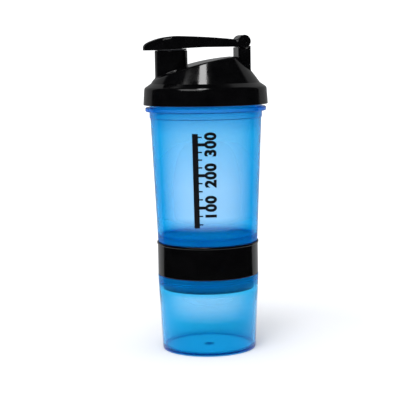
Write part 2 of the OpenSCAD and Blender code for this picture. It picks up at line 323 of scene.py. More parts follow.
@dataclass(frozen=True)
class TintedPolypropylene:
    """Translucent polypropylene, injection moulded in a polished tool.

    The eye sees through it, but never clearly: the pigment scatters blue light, so what is
    behind looks veiled, and the colour deepens where the wall is seen at a slant, partly from real
    absorption and partly because a painted sheen fades there: a pale layer at set heights that lays
    a soft bright veil of light on the wall.
    """

    name: str = "tinted_polypropylene_moulded"
    clear_tint: str = "#e4f3fc"
    pigment: str = "#06a2f2"
    # Colour and strength of the painted sheen, a pale layer that lays a soft bright veil of light on the
    # wall
    painted_sheen_colour: str = "#c4e3fc"
    painted_sheen_part: float = 0.43
    depth_colour: str = "#5ef3fe"
    depth_density: float = 1125.0
    shine: str = "#3aa4ff"
    gate_colour: str = "#03409c"
    gate_mm: tuple[float, float] = (1.4, 4.6)
    gate_tall_mm: float = 4.0
    gate_part: float = 0.8
    roughness: float = 0.04
    rubbed: float = 0.05
    ior: float = 1.49
    flow_mm: float = 34.0
    tall_mm: float = 200.0
    peel_mm: float = 2.4
    rub_mm: float = 1 / 0.9
    slant: float = 0.55
    skin_facing: float = 0.8
    # Strength of the painted sheen by height, as a share of tall_mm
    painted_sheen_by_height: tuple[tuple[float, float], ...] = (
        (0.12, 0.0),
        (0.18, 0.6),
        (0.215, 0.65),
        (0.235, 0.0),
        (0.46, 0.0),
        (0.51, 1.0),
        (0.62, 1.0),
        (0.80, 0.5),
        (0.88, 0.1),
        (0.93, 0.0),
    )
    haze_by_height: tuple[tuple[float, float], ...] = (
        (0.018, 0.12),
        (0.035, 0.07),
        (0.235, 0.05),
        (0.25, 0.35),
        (0.28, 0.35),
        (0.42, 0.5),
        (0.435, 0.3),
        (0.455, 0.09),
        (0.80, 0.12),
        (0.90, 0.35),
        (0.94, 0.55),
    )

    def build(self) -> bpy.types.Material:
        """Makes the material.

        Returns:
            The material.
        """
        material, tree, out = new_material(self.name)
        place = object_place(tree)
        # Pigment streaks that lie along the melt's flow, up the wall
        flow = add_node(tree, "ShaderNodeMapping", {"Scale": (1.0, 1.0, 0.3)}, {"Vector": place}).outputs[0]
        streaks = noise(tree, self.flow_mm, 4.0, flow, 0.55)
        pigment = add_ramp(tree, [(0.3, "#0694e6"), (0.5, self.pigment), (0.72, "#0cacf8")], streaks)
        # Polish of the tool: a faint orange peel, and fine handling marks in the gloss
        peel = noise(tree, self.peel_mm, 2.0, place)
        marks = noise(tree, self.rub_mm, 5.0, flow, 0.7)
        gloss = remap(tree, marks, (0.35, 0.75), (self.roughness, self.roughness + self.rubbed))
        wall = add_node(
            tree,
            "ShaderNodeBsdfPrincipled",
            {
                "IOR": self.ior,
                "Transmission Weight": 1.0,
                "Base Color": linear(self.clear_tint),
                "Specular Tint": linear(self.shine),
            },
            {"Roughness": gloss, "Normal": relief(tree, 0.12, 0.04, peel)},
        )
        front = add_node(tree, "ShaderNodeBsdfDiffuse", links={"Color": pigment})
        through = add_node(tree, "ShaderNodeBsdfTranslucent", links={"Color": pigment})
        veil = blend(tree, 0.5, front.outputs[0], through.outputs[0])
        up = add_node(tree, "ShaderNodeSeparateXYZ", links={0: place}).outputs[2]
        height = remap(tree, up, (0.0, self.tall_mm * MM))
        haze = add_profile(tree, self.haze_by_height, height)
        mixed = blend(tree, haze, wall.outputs[0], veil)
        # Painted sheen: a pale diffuse layer on the outer skin at set heights, strongest where it is seen
        # square on, that lays a soft bright veil of light on the wall
        flat = vector_node(tree, "MULTIPLY", place, (1.0, 1.0, 0.0)).outputs[0]
        radius = vector_node(tree, "LENGTH", flat).outputs["Value"]
        away = vector_node(tree, "NORMALIZE", flat).outputs[0]
        normal = add_node(tree, "ShaderNodeTexCoord").outputs["Normal"]
        outward = vector_node(tree, "DOT_PRODUCT", away, normal).outputs["Value"]
        skin = math_node(tree, "GREATER_THAN", outward, self.skin_facing)
        square = add_node(tree, "ShaderNodeLayerWeight", {"Blend": 0.5}).outputs["Facing"]
        sheen = remap(tree, square, (0.0, self.slant), (self.painted_sheen_part, 0.0), "SMOOTHSTEP")
        painted_sheen_level = add_profile(tree, self.painted_sheen_by_height, height)
        part = math_node(tree, "MULTIPLY", math_node(tree, "MULTIPLY", painted_sheen_level, skin), sheen)
        mixed = blend(tree, part, mixed, diffuse(tree, self.painted_sheen_colour))
        # The gate's mark: stressed, darker plastic in the middle of the floor
        ring = remap(tree, radius, (self.gate_mm[0] * MM, self.gate_mm[1] * MM), (self.gate_part, 0.0))
        low = math_node(tree, "LESS_THAN", up, self.gate_tall_mm * MM)
        mixed = blend(tree, math_node(tree, "MULTIPLY", ring, low), mixed, diffuse(tree, self.gate_colour))
        settings = {"Color": linear(self.depth_colour), "Density": self.depth_density}
        depth = add_node(tree, "ShaderNodeVolumeAbsorption", settings)
        tree.links.new(mixed, out.inputs["Surface"])
        tree.links.new(depth.outputs[0], out.inputs["Volume"])
        return material


@dataclass(frozen=True)
class BlackPolypropylene:
    """Black polypropylene, injection moulded in a polished tool.

    Deep and glossy, with crisp reflections that waver a little, and a few fine rub marks.
    """

    name: str = "black_polypropylene_moulded"
    colour: str = "#030304"
    rubbed_colour: str = "#070708"
    roughness: float = 0.085
    ior: float = 1.49
    peel_mm: float = 5.0
    rub_mm: float = 9.0

    def build(self) -> bpy.types.Material:
        """Makes the material.

        Returns:
            The material.
        """
        material, tree, out = new_material(self.name)
        place = object_place(tree)
        cloud = noise(tree, self.rub_mm, 6.0, place, 0.65)
        links = {
            "Base Color": add_ramp(tree, [(0.35, self.colour), (0.75, self.rubbed_colour)], cloud),
            "Roughness": remap(tree, cloud, (0.3, 0.8), (self.roughness - 0.02, self.roughness + 0.08)),
            "Normal": relief(tree, 0.14, 0.06, noise(tree, self.peel_mm, 2.0, place)),
        }
        shader = add_node(tree, "ShaderNodeBsdfPrincipled", {"IOR": self.ior}, links)
        tree.links.new(shader.outputs[0], out.inputs["Surface"])
        return material


@dataclass(frozen=True)
class Silicone:
    """Silicone rubber, compression moulded: dark, soft to the eye, with a dusty bloom."""

    name: str = "silicone_rubber_moulded"
    colour: str = "#3c3d41"
    dusty_colour: str = "#4d4e53"
    roughness: float = 0.55
    ior: float = 1.43
    dust_mm: float = 0.8

    def build(self) -> bpy.types.Material:
        """Makes the material.

        Returns:
            The material.
        """
        material, tree, out = new_material(self.name)
        dust = noise(tree, self.dust_mm, 4.0, object_place(tree))
        colour = add_ramp(tree, [(0.4, self.colour), (0.75, self.dusty_colour)], dust)
        shader = add_node(
            tree,
            "ShaderNodeBsdfPrincipled",
            {"IOR": self.ior, "Roughness": self.roughness},
            {"Base Color": colour, "Normal": relief(tree, 0.25, 0.05, dust)},
        )
        tree.links.new(shader.outputs[0], out.inputs["Surface"])
        return material


@dataclass(frozen=True)
class PadPrintInk:
    """Black pad-printing ink: a thin satin film with specks where it didn't take."""

    name: str = "pad_print_ink"
    colour: str = "#050507"
    speck_colour: str = "#10141e"
    roughness: float = 0.38
    ior: float = 1.5
    speck_mm: float = 0.5

    def build(self) -> bpy.types.Material:
        """Makes the material.

        Returns:
            The material.
        """
        material, tree, out = new_material(self.name)
        speck = noise(tree, self.speck_mm, 3.0, object_place(tree))
        colour = add_ramp(tree, [(0.5, self.colour), (0.8, self.speck_colour)], speck)
        shader = add_node(
            tree,
            "ShaderNodeBsdfPrincipled",
            {"IOR": self.ior, "Roughness": self.roughness},
            {"Base Color": colour},
        )
        tree.links.new(shader.outputs[0], out.inputs["Surface"])
        return material


@dataclass
class Finishes:
    """Every material of the bottle, made once."""

    blue: bpy.types.Material = field(default_factory=lambda: TintedPolypropylene().build())
    black: bpy.types.Material = field(default_factory=lambda: BlackPolypropylene().build())
    rubber: bpy.types.Material = field(default_factory=lambda: Silicone().build())
    ink: bpy.types.Material = field(default_factory=lambda: PadPrintInk().build())


# ---------------------------------------------------------------------------------------------
# Turned meshes

Corner = tuple[float, float, float]


def rounded(corners: Sequence[Corner], closed: bool, step: float = 6.0) -> np.ndarray:
    """Rounds the corners of an outline.

    Args:
        corners: Radius, height and fillet of each corner, in order.
        closed: Whether the outline joins its own start.
        step: The longest stretch left without a point.

    Returns:
        The outline's points, with extra ones beside each fillet to keep flat faces flat.
    """
    points: list[np.ndarray] = []
    count = len(corners)
    for i, (r, z, fillet) in enumerate(corners):
        here = np.array([r, z])
        if not closed and i in (0, count - 1) or fillet <= 0:
            points.append(here)
            continue
        before = np.array(corners[i - 1][:2]) - here
        after = np.array(corners[(i + 1) % count][:2]) - here
        long_a, long_b = np.linalg.norm(before), np.linalg.norm(after)
        before, after = before / long_a, after / long_b
        half = math.acos(float(np.clip(before @ after, -1, 1))) / 2
        reach = min(fillet / math.tan(half), 0.45 * long_a, 0.45 * long_b)
        radius = reach * math.tan(half)
        centre = here + (before + after) / np.linalg.norm(before + after) * radius / math.sin(half)
        a, b = here + before * reach, here + after * reach
        start = math.atan2(*(a - centre)[::-1])
        turn = (math.atan2(*(b - centre)[::-1]) - start + math.pi) % (2 * math.pi) - math.pi
        steps = max(3, math.ceil(abs(turn) / math.radians(18)))
        points.append(a + before * 0.06)
        for k in range(steps + 1):
            t = start + turn * k / steps
            points.append(centre + radius * np.array([math.cos(t), math.sin(t)]))
        points.append(b + after * 0.06)
    dense: list[np.ndarray] = []
    pairs = zip(points, points[1:] + points[:1]) if closed else zip(points, points[1:])
    for a, b in pairs:
        pieces = max(1, math.ceil(float(np.linalg.norm(b - a)) / step))
        dense.extend(a + (b - a) * k / pieces for k in range(pieces))
    if not closed:
        dense.append(points[-1])
    return np.array(dense)


@dataclass(frozen=True)
class Thread:
    """One screw ridge on a straight wall."""

    root: float
    height: float
    pitch: float
    turns: float
    z: float
    side: Ridge
    width: float = 2.0
    crest: float = 0.9

    def rise(self, angle: np.ndarray, r: np.ndarray, z: np.ndarray) -> np.ndarray:
        """Gives how far the wall moves outwards at each place.

        Args:
            angle: Angle round the axis, in radians.
            r: Radius of the plain wall.
            z: Height.

        Returns:
            The change of radius, in millimetres.
        """
        out = np.zeros_like(r)
        for k in range(math.ceil(self.turns) + 1):
            turn = angle / (2 * math.pi) + k
            along = np.clip(turn, 0, self.turns)
            off = np.hypot(z - self.z - self.pitch * along, (turn - along) * 2 * math.pi * self.root)
            t = np.clip((self.width / 2 - off) / (self.width / 2 - self.crest / 2), 0, 1)
            lead = np.clip(np.minimum(along, self.turns - along) / 0.06, 0, 1) * 0.7 + 0.3
            out = np.maximum(out, self.height * lead * t * t * (3 - 2 * t))
        near = np.abs(r - self.root) < 0.05
        return np.where(near, out * self.side.value, 0.0)


def finer(points: np.ndarray, threads: Sequence[Thread], step: float = 0.22) -> np.ndarray:
    """Adds points to an outline wherever a thread runs.

    Args:
        points: The outline's radius and height.
        threads: The threads on it.
        step: Height between points along a threaded wall.

    Returns:
        The outline with more points.
    """
    out: list[np.ndarray] = []
    for a, b in zip(points, np.roll(points, -1, axis=0)):
        out.append(a)
        on = [t for t in threads if abs(a[0] - t.root) < 0.05 and abs(b[0] - t.root) < 0.05]
        if on and not np.array_equal(b, points[0]):
            pieces = math.ceil(abs(float(b[1] - a[1])) / step)
            out.extend(a + (b - a) * k / pieces for k in range(1, pieces))
    return np.array(out)


def make_object(
    name: str, vertices: np.ndarray, faces: Sequence[Sequence[int]], material: bpy.types.Material
) -> bpy.types.Object:
    """Makes a smooth mesh object.

    Args:
        name: The object's name.
        vertices: Points in millimetres.
        faces: Vertex numbers of each face.
        material: The material of every face.

    Returns:
        The object, in the scene.
    """
    mesh = bpy.data.meshes.new(name)
    mesh.from_pydata((vertices * MM).tolist(), [], [list(map(int, f)) for f in faces])
    mesh.validate()
    tidy = bmesh.new()
    tidy.from_mesh(mesh)
    bmesh.ops.recalc_face_normals(tidy, faces=tidy.faces)
    tidy.to_mesh(mesh)
    tidy.free()
    mesh.shade_smooth()
    mesh.materials.append(material)
    thing = bpy.data.objects.new(name, mesh)
    bpy.context.scene.collection.objects.link(thing)
    return thing


def turned(
    name: str,
    corners: Sequence[Corner],
    material: bpy.types.Material,
    closed: bool = False,
    threads: Sequence[Thread] = (),
    segments: int = 288,
    axis: Axis = Axis.UP,
    centre: tuple[float, float, float] = (0.0, 0.0, 0.0),
) -> bpy.types.Object:
    """Makes a solid of revolution, with rounded corners and screw ridges.

    Args:
        name: The object's name.
        corners: The outline's radius, height and fillet. It closes on itself or ends on the axis.
        material: The material of every face.
        closed: Whether the outline closes on itself.
        threads: Screw ridges on its straight walls.
        segments: Number of faces round the axis.
        axis: The direction of the axis.
        centre: A point on the axis, from which heights are taken.

    Returns:
        The object, in the scene.
    """
    outline = finer(rounded(corners, closed), threads)
    angle = np.arange(segments) * 2 * math.pi / segments
    grid_a, grid_r = np.meshgrid(angle, outline[:, 0], indexing="ij")
    grid_z = np.broadcast_to(outline[:, 1], grid_r.shape)
    wall = grid_r.copy()
    for thread in threads:
        wall += thread.rise(grid_a, grid_r, grid_z)
    points = np.stack([wall * np.cos(grid_a), wall * np.sin(grid_a), grid_z], axis=-1)
    rows = len(outline)
    index = np.arange(segments * rows).reshape(segments, rows)
    beside = np.roll(index, -1, axis=0)
    last = rows if closed else rows - 1
    faces: list[Sequence[int]] = []
    for j in range(last):
        k = (j + 1) % rows
        if outline[j, 0] < 1e-6 and outline[k, 0] < 1e-6:
            continue
        if outline[j, 0] < 1e-6:
            faces.extend(zip([index[0, j]] * segments, beside[:, k], index[:, k]))
        elif outline[k, 0] < 1e-6:
            faces.extend(zip(index[:, j], beside[:, j], [index[0, k]] * segments))
        else:
            faces.extend(zip(index[:, j], beside[:, j], beside[:, k], index[:, k]))
    flat = points.reshape(-1, 3)
    used = np.unique(np.concatenate([np.array(f) for f in faces]))
    renumber = np.full(len(flat), -1)
    renumber[used] = np.arange(len(used))
    flat = flat[used]
    faces = [[renumber[i] for i in f] for f in faces]
    if axis is Axis.ACROSS:
        flat = flat[:, [0, 2, 1]]
    return make_object(name, flat + np.array(centre), faces, material)


# ---------------------------------------------------------------------------------------------
# Moulded meshes: solids given as distances, joined and cut with real fillets

Distance = Callable[[np.ndarray], np.ndarray]


def join(a: np.ndarray, b: np.ndarray, fillet: float) -> np.ndarray:
    """Joins two solids with a hollow fillet.

    Args:
        a: Distances to the first solid.
        b: Distances to the second solid.
        fillet: Radius of the fillet.

    Returns:
        Distances to the joined solid.
    """
    u = np.hypot(np.maximum(fillet - a, 0), np.maximum(fillet - b, 0))
    return np.maximum(fillet, np.minimum(a, b)) - u


def keep(a: np.ndarray, b: np.ndarray, fillet: float) -> np.ndarray:
    """Keeps what two solids share, with its edge rounded.

    Args:
        a: Distances to the first solid.
        b: Distances to the second solid.
        fillet: Radius of the edge.

    Returns:
        Distances to the shared solid.
    """
    u = np.hypot(np.maximum(fillet + a, 0), np.maximum(fillet + b, 0))
    return np.minimum(-fillet, np.maximum(a, b)) + u


def cut(a: np.ndarray, b: np.ndarray, fillet: float) -> np.ndarray:
    """Cuts solid b out of solid a, with the edge rounded."""
    return keep(a, -b, fillet)


def slab(value: np.ndarray, low: float, high: float) -> np.ndarray:
    """The solid between two parallel planes."""
    return np.maximum(low - value, value - high)


def rod(p: np.ndarray, x: float, z: float, radius: float) -> np.ndarray:
    """A round rod along Y, without ends."""
    return np.hypot(p[:, 0] - x, p[:, 2] - z) - radius


def tube(p: np.ndarray, x: float, radius: float) -> np.ndarray:
    """A round rod along Z, without ends."""
    return np.hypot(p[:, 0] - x, p[:, 1]) - radius


def net(
    solid: Distance, low: Sequence[float], high: Sequence[float], step: float
) -> tuple[np.ndarray, np.ndarray]:
    """Skins a solid with a net of quads that lie on its surface.

    Args:
        solid: The distance to the solid's surface, below zero inside.
        low: Lowest corner of the space that holds it.
        high: Highest corner of that space.
        step: Size of the net's cells.

    Returns:
        The net's points and its faces.
    """
    axes = [np.arange(lo, hi + step, step) for lo, hi in zip(low, high)]
    shape = tuple(len(a) for a in axes)
    values = np.empty(shape, np.float32)
    gy, gz = np.meshgrid(axes[1], axes[2], indexing="ij")
    for i, x in enumerate(axes[0]):
        sheet = np.stack([np.full(gy.size, x), gy.ravel(), gz.ravel()], axis=1)
        values[i] = solid(sheet).reshape(gy.shape)
    inside = values < 0
    cells = tuple(n - 1 for n in shape)
    count = np.zeros(cells, np.int8)
    for corner in np.ndindex(2, 2, 2):
        count += inside[tuple(slice(c, c + n) for c, n in zip(corner, cells))]
    mixed = (count > 0) & (count < 8)
    number = np.full(cells, -1, np.int64)
    number[mixed] = np.arange(int(mixed.sum()))
    where = np.argwhere(mixed)
    total, hits = np.zeros((len(where), 3)), np.zeros(len(where))
    for axis in range(3):
        others = [k for k in range(3) if k != axis]
        for offset in np.ndindex(2, 2):
            a = where.copy()
            a[:, others[0]] += offset[0]
            a[:, others[1]] += offset[1]
            b = a.copy()
            b[:, axis] += 1
            va, vb = values[tuple(a.T)], values[tuple(b.T)]
            cross = (va < 0) != (vb < 0)
            t = np.where(cross, va / np.where(cross, va - vb, 1), 0)
            spot = a.astype(float)
            spot[:, axis] += t
            total[cross] += spot[cross]
            hits[cross] += 1
    points = total / hits[:, None] * step + np.array(low)
    for _ in range(4):
        slope = gradient(solid, points)
        points -= np.clip(solid(points), -step, step)[:, None] * slope
    faces = []
    for axis in range(3):
        one, two = [k for k in range(3) if k != axis]
        head = [slice(1, n - 1) for n in shape]
        head[axis] = slice(0, shape[axis] - 1)
        tail = list(head)
        tail[axis] = slice(1, shape[axis])
        a, b = inside[tuple(head)], inside[tuple(tail)]
        for flip, change in ((False, a & ~b), (True, ~a & b)):
            spot = np.argwhere(change) + np.array([0 if k == axis else 1 for k in range(3)])
            ring = []
            for d1, d2 in ((0, 0), (1, 0), (1, 1), (0, 1)):
                cell = spot.copy()
                cell[:, one] -= d1
                cell[:, two] -= d2
                ring.append(number[tuple(cell.T)])
            quads = np.stack(ring, axis=1)
            faces.append(quads[:, ::-1] if flip == (axis != 1) else quads)
    return points, np.concatenate(faces)


def gradient(solid: Distance, points: np.ndarray, reach: float = 0.02) -> np.ndarray:
    """Gives the direction in which the distance to a solid grows.

    Args:
        solid: The distance to the solid's surface.
        points: Where to measure.
        reach: Half the length that the slope is measured over.

    Returns:
        One unit vector for each point.
    """
    slope = np.empty_like(points)
    for axis in range(3):
        ahead, behind = points.copy(), points.copy()
        ahead[:, axis] += reach
        behind[:, axis] -= reach
        slope[:, axis] = solid(ahead) - solid(behind)
    return slope / np.maximum(np.linalg.norm(slope, axis=1), 1e-9)[:, None]


def moulded(
    name: str,
    solid: Distance,
    low: Sequence[float],
    high: Sequence[float],
    step: float,
    material: bpy.types.Material,
) -> bpy.types.Object:
    """Makes a mesh of a solid given as a distance, shaded with the solid's own normals.

    Args:
        name: The object's name.
        solid: The distance to the solid's surface, below zero inside.
        low: Lowest corner of the space that holds it.
        high: Highest corner of that space.
        step: Size of the mesh's faces.
        material: The material of every face.

    Returns:
        The object, in the scene.
    """
    points, faces = net(solid, low, high, step)
    mesh = bpy.data.meshes.new(name)
    mesh.from_pydata((points * MM).tolist(), [], faces.tolist())
    mesh.shade_smooth()
    mesh.normals_split_custom_set_from_vertices(gradient(solid, points).tolist())
    mesh.materials.append(material)
    thing = bpy.data.objects.new(name, mesh)
    bpy.context.scene.collection.objects.link(thing)
    return thing


# ---------------------------------------------------------------------------------------------
# Sub-assemblies


def span(node: str, axis: int) -> tuple[float, float]:
    """Gives a CAD node's extent along one axis, in millimetres."""
    low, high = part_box(node)
    return low[axis] / MM, high[axis] / MM


def place_piece(thing: bpy.types.Object, body: str, node: str) -> bpy.types.Object:
    """Puts a piece in a CAD node's place.

    Args:
        thing: The piece.
        body: The body that it rides on.
        node: The CAD node that it stands for.

    Returns:
        The same piece.
    """
    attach(thing, body)
    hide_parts(node)
    log.info("%s stands for %s, %d faces", thing.name, node, len(thing.data.polygons))
    return thing


@dataclass
class Jar:
    """The storage jar and its seal."""

    foot_r: float = 35.0
    mouth_r: float = 37.5
    bore: float = 35.4
    wall: float = 1.8
    floor: float = 2.0
    recess: float = 0.8
    gate_r: float = 3.4
    thread: Thread = Thread(35.4, 1.1, 4.0, 1.0, 49.35, Ridge.INWARD)

    def build(self, looks: Finishes) -> None:
        """Builds the jar and its seal.

        Args:
            looks: The finishes.
        """
        top = span("storage_jar", 2)[1]
        inner = self.foot_r - self.wall
        outline = [
            (0, self.recess * 0.25, 0),
            (self.gate_r, self.recess * 0.25, 0.2),
            (self.gate_r, self.recess, 0.15),
            (self.foot_r - 2.6, self.recess, 0.3),
            (self.foot_r - 2.6, 0, 0.35),
            (self.foot_r - 0.3, 0, 1.2),
            (self.foot_r, 1.4, 1.2),
            (self.mouth_r, top, 0.4),
            (self.bore, top, 0.5),
            (self.bore, top - 12.2, 2.0),
            (inner, self.floor + 1.5, 2.5),
            (inner - 1.2, self.floor, 1.5),
            (0, self.floor, 0),
        ]
        jar = turned("storage_jar_wall", outline, looks.blue, threads=[self.thread])
        place_piece(jar, "jar", "storage_jar")
        seal_ring("jar_seal", looks)


def seal_ring(node: str, looks: Finishes) -> None:
    """Builds a flat seal with rounded edges in the place of its CAD node.

    Args:
        node: The seal's CAD node, which is also its body.
        looks: The finishes.
    """
    low, high = span(node, 2)
    outer = span(node, 0)[1]
    inner = outer - (4.0 if node == "lid_seal" else 1.45)
    edge = 0.3 * (high - low)
    outline = [(inner, low, edge), (outer, low, edge), (outer, high, edge), (inner, high, edge)]
    ring = turned(node + "_ring", outline, looks.rubber, closed=True, segments=192)
    place_piece(ring, node, node)


@dataclass
class Joiner:
    """The ring that joins the jar to the cup, and the tray inside it."""

    outer_r: float = 37.4
    neck_r: float = 33.8
    neck_bore: float = 32.2
    socket_r: float = 35.8
    shoulder_z: float = 56.4
    floor_z: float = 58.0
    web_low: float = 66.4
    web_z: float = 68.0
    lip: float = 1.5
    lower: Thread = Thread(33.8, 1.1, 4.0, 1.25, 47.35, Ridge.OUTWARD)
    upper: Thread = Thread(35.8, 1.1, 4.0, 1.0, 73.4, Ridge.INWARD)

    def build(self, looks: Finishes) -> None:
        """Builds the ring, and dresses the tray.

        Args:
            looks: The finishes.
        """
        low, top = span("joiner_ring", 2)
        lip_r = span("joiner_ring", 0)[1]
        outline = [
            (0, self.web_low, 0),
            (self.socket_r, self.web_low, 0.4),
            (self.socket_r, self.floor_z, 0.4),
            (self.neck_bore, self.floor_z, 0.4),
            (self.neck_bore, low, 0.35),
            (self.neck_r, low, 0.35),
            (self.neck_r, self.shoulder_z, 0.3),
            (self.outer_r, self.shoulder_z, 0.45),
            (self.outer_r, top - self.lip, 0.25),
            (lip_r, top - self.lip, 0.35),
            (lip_r, top, 0.45),
            (self.socket_r, top, 0.4),
            (self.socket_r, self.web_z, 0.4),
            (0, self.web_z, 0),
        ]
        ring = turned("joiner_ring_wall", outline, looks.black, threads=[self.lower, self.upper])
        place_piece(ring, "joiner", "joiner_ring")
        dress_node("pill_tray", looks.black)


def dress_node(node: str, material: bpy.types.Material) -> None:
    """Gives a CAD node that stays a finished material.

    Args:
        node: The CAD node.
        material: Its material.
    """
    thing = frame["nodes"][node]
    thing.data.materials.clear()
    thing.data.materials.append(material)
    log.info("%s keeps its CAD mesh", node)


@dataclass
class Cup:
    """The mixing cup, its seal and the scale printed on it."""

    foot_neck_r: float = 34.2
    base_r: float = 37.1
    top_r: float = 41.0
    band_r: float = 41.6
    mouth_r: float = 41.3
    bore: float = 39.5
    wall: float = 1.8
    floor: float = 2.0
    shoulder_z: float = 81.1
    band_z: float = 173.0
    band_h: float = 4.5
    bead_h: float = 3.0
    print_r: float = 38.5
    ink_film: float = 0.05
    ink_root: float = 0.02
    lower: Thread = Thread(34.2, 1.1, 4.0, 1.25, 71.4, Ridge.OUTWARD)
    upper: Thread = Thread(41.3, 1.8, 5.0, 1.0, 185.9, Ridge.OUTWARD)

    def build(self, looks: Finishes) -> None:
        """Builds the cup, its seal and its print.

        Args:
            looks: The finishes.
        """
        low, top = span("cup", 2)
        bead_r = span("cup", 0)[1]
        bead_z = self.band_z + self.band_h
        foot_bore = self.foot_neck_r - self.wall
        floor_z = self.shoulder_z + 1.9
        outline = [
            (0, floor_z, 0),
            (foot_bore, floor_z, 0.8),
            (foot_bore, low, 0.4),
            (self.foot_neck_r, low, 0.4),
            (self.foot_neck_r, self.shoulder_z, 0.3),
            (self.base_r - 0.2, self.shoulder_z, 0.7),
            (self.base_r + 0.05, self.shoulder_z + 1.2, 0.9),
            (self.top_r, self.band_z - 0.5, 0.4),
            (self.band_r, self.band_z, 0.3),
            (self.band_r, bead_z, 0.5),
            (bead_r, bead_z, 0.7),
            (bead_r, bead_z + self.bead_h, 0.7),
            (self.mouth_r, bead_z + self.bead_h, 0.4),
            (self.mouth_r, top, 0.5),
            (self.bore, top, 0.5),
            (self.bore, bead_z, 3.0),
            (self.base_r - self.wall, floor_z + self.floor + 1.5, 2.0),
            (self.base_r - self.wall - 1.2, floor_z + self.floor, 1.5),
            (0, floor_z + self.floor, 0),
        ]
        cup = turned("cup_wall", outline, looks.blue, threads=[self.lower, self.upper])
        place_piece(cup, "cup", "cup")
        seal_ring("cup_seal", looks)
        self.print_scale(looks)

    def wall_at(self, z: float) -> float:
        """Gives the outer radius of the cup's wall at a height."""
        share = (z - self.shoulder_z - 1.2) / (self.band_z - 0.5 - self.shoulder_z - 1.2)
        return self.base_r + 0.05 + (self.top_r - self.base_r - 0.05) * share

    def level(self, volume: float) -> float:
        """Gives the height that a drink comes up to.

        Args:
            volume: The drink's volume, in millilitres.

        Returns:
            The height of its surface, in millimetres.
        """
        step = 0.1
        floor_top = self.shoulder_z + 1.9 + self.floor
        heights = np.arange(floor_top, self.band_z, step)
        # The inner wall: a step at the floor, its corner, and then a straight taper up to the bore
        turns = [floor_top, floor_top + 1.5, self.band_z + self.band_h]
        low_r = self.base_r - self.wall
        inner = np.interp(heights, turns, [low_r - 2.4, low_r, self.bore])
        filled = np.cumsum(math.pi * inner**2 * step) / 1000
        return float(np.interp(volume, filled, heights))

    def print_scale(self, looks: Finishes) -> None:
        """Prints a plain volume scale on the wall: a bold rule, marks and numbers.

        Args:
            looks: The finishes.
        """
        marks = tuple((volume, self.level(volume)) for volume in range(50, 326, 25))
        log.info("scale marks: %s", ", ".join(f"{v} ml at {z:.1f} mm" for v, z in marks if v % 100 == 0))
        ink = ScaleArt(marks).build()
        points = np.array([tuple(v.co) for v in ink.vertices])
        faces = [list(f.vertices) for f in ink.polygons]
        radius = np.array([self.wall_at(z) for z in points[:, 1]])
        angle = -math.pi / 2 + points[:, 0] / self.print_r
        rows = []
        for lift in (-self.ink_root, self.ink_film):
            r = radius + lift
            rows.append(np.stack([r * np.cos(angle), r * np.sin(angle), points[:, 1]], axis=1))
        count = len(points)
        edges: dict[tuple[int, int], int] = {}
        for f in faces:
            for a, b in zip(f, f[1:] + f[:1]):
                edges[(a, b)] = edges.get((a, b), 0) + 1
        rim = [(a, b) for (a, b) in edges if (b, a) not in edges]
        skin = [[i + count for i in f] for f in faces] + [f[::-1] for f in faces]
        skin += [[a, b, b + count, a + count] for a, b in rim]
        thing = make_object("cup_scale_print", np.concatenate(rows), skin, looks.ink)
        thing.data.shade_flat()
        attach(thing, "cup")
        log.info("%s lies on the cup's wall", thing.name)


@dataclass
class ScaleArt:
    """The flat artwork of the printed scale: across in X, height in Y, in millimetres."""

    marks: tuple[tuple[int, float], ...]
    left: float = -15.0
    right: float = 1.0
    low: float = 95.0
    high: float = 163.0
    rule: float = 4.0
    slice_mm: float = 0.6
    major_mark: tuple[float, float] = (4.6, 2.2)
    minor_mark: tuple[float, float] = (2.6, 1.0)
    number_size: float = 10.6
    number_weight: float = 0.5
    number_inset: float = 3.2
    overhang: float = 8.0

    def build(self) -> bpy.types.Mesh:
        """Draws the artwork.

        Returns:
            A flat mesh, cut in narrow strips so that it can bend round the wall.
        """
        art = bmesh.new()
        self.bar(art, self.left, self.low, self.left + self.rule, self.high)
        for volume, y in self.marks:
            major = volume % 100 == 0
            reach, thick = self.major_mark if major else self.minor_mark
            start = self.left + self.rule
            self.bar(art, start, y - thick / 2, start + reach, y + thick / 2)
            if major:
                self.number(art, str(volume), y)
        for k in range(1, math.ceil((self.right - self.left + self.overhang) / self.slice_mm)):
            spot = Vector((self.left + k * self.slice_mm, 0, 0))
            everything = art.verts[:] + art.edges[:] + art.faces[:]
            bmesh.ops.bisect_plane(art, geom=everything, plane_co=spot, plane_no=(1, 0, 0))
        mesh = bpy.data.meshes.new("scale_art")
        art.to_mesh(mesh)
        art.free()
        return mesh

    def bar(self, art: bmesh.types.BMesh, x0: float, y0: float, x1: float, y1: float) -> None:
        """Draws a bar.

        Args:
            art: The drawing.
            x0: Left side.
            y0: Lower side.
            x1: Right side.
            y1: Upper side.
        """
        corners = [art.verts.new((x, y, 0)) for x, y in ((x0, y0), (x1, y0), (x1, y1), (x0, y1))]
        art.faces.new(corners)

    def number(self, art: bmesh.types.BMesh, words: str, y: float) -> None:
        """Draws a number that reads upwards, like the marks beside it.

        Args:
            art: The drawing.
            words: The number.
            y: Height of its middle.
        """
        curve = bpy.data.curves.new("scale_number", "FONT")
        curve.body, curve.size, curve.offset = words, self.number_size, self.number_weight
        curve.align_x, curve.align_y = "CENTER", "CENTER"
        curve.space_character = 1.12
        thing = bpy.data.objects.new("scale_number", curve)
        bpy.context.scene.collection.objects.link(thing)
        bpy.context.view_layer.update()
        seen = thing.evaluated_get(bpy.context.evaluated_depsgraph_get())
        flat = bpy.data.meshes.new_from_object(seen)
        bpy.data.objects.remove(thing)
        middle = Matrix.Translation((self.right - self.number_inset, y, 0))
        flat.transform(middle @ Matrix.Rotation(math.pi / 2, 4, "Z"))
        art.from_mesh(flat)


